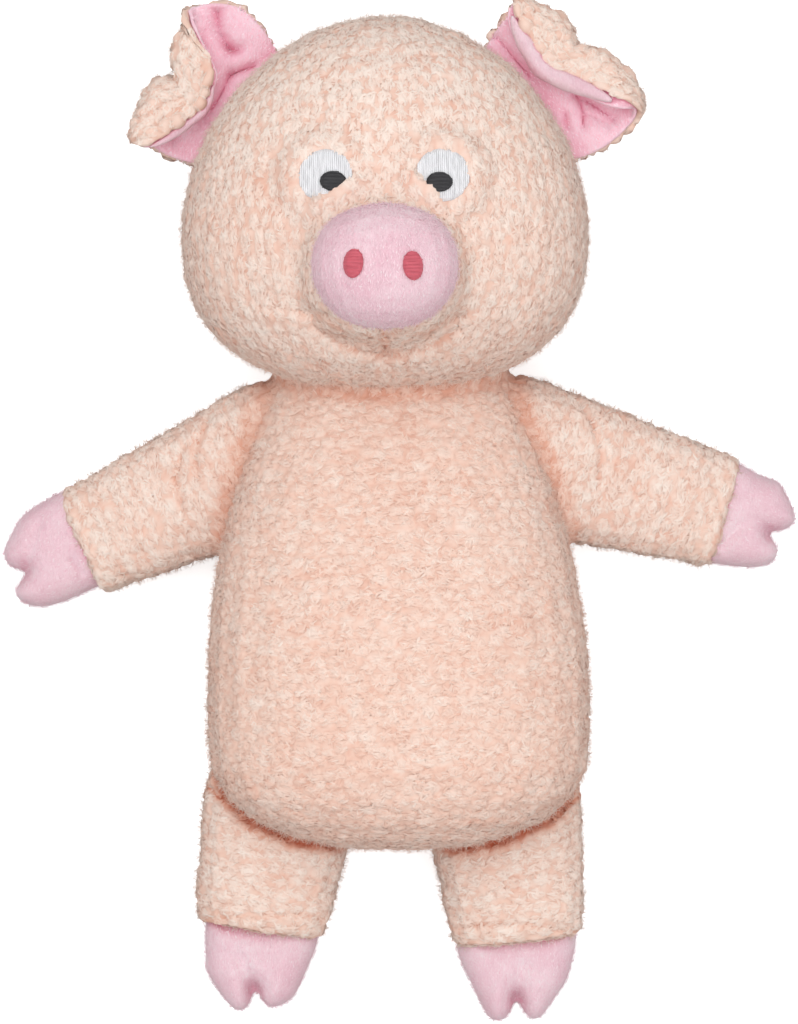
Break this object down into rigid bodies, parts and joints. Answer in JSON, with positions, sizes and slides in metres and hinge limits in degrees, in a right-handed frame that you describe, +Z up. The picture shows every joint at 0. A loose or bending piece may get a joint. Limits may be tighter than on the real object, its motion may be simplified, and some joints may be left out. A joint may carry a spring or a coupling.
{
  "type": "plush toy pig",
  "caption": "Stuffed toy pig in curly plush with velour snout, ears and hooves, lying on its back with its arms out.",
  "frame": {"origin": "on the floor under the middle of the toy's bounding box", "axes": "+Y from the feet to the head, +Z up out of the belly, -X to the toy's right side"},
  "size_m": [0.374, 0.475, 0.1758],
  "materials": {
    "boucle_plush": "cream-pink curly knitted plush, matt",
    "pink_velour": "short-pile pink velour with a soft sheen",
    "white_thread": "white satin-stitch embroidery",
    "black_thread": "black satin-stitch embroidery",
    "rose_thread": "rose-red satin-stitch embroidery"
  },
  "bodies": {
    "root": {"arm_left": "boucle_plush", "arm_right": "boucle_plush", "ear_left_lining": "pink_velour", "ear_left_shell": "boucle_plush", "ear_right_lining": "pink_velour", "ear_right_shell": "boucle_plush", "eye_left": "white_thread", "eye_right": "white_thread", "foot_left_hoof": "pink_velour", "foot_right_hoof": "pink_velour", "hand_left_hoof": "pink_velour", "hand_right_hoof": "pink_velour", "head": "boucle_plush", "leg_left": "boucle_plush", "leg_right": "boucle_plush", "nostril_left": "rose_thread", "nostril_right": "rose_thread", "pupil_left": "black_thread", "pupil_right": "black_thread", "snout": "pink_velour", "tail": "pink_velour", "trunk": "boucle_plush"}
  },
  "joints": []
}
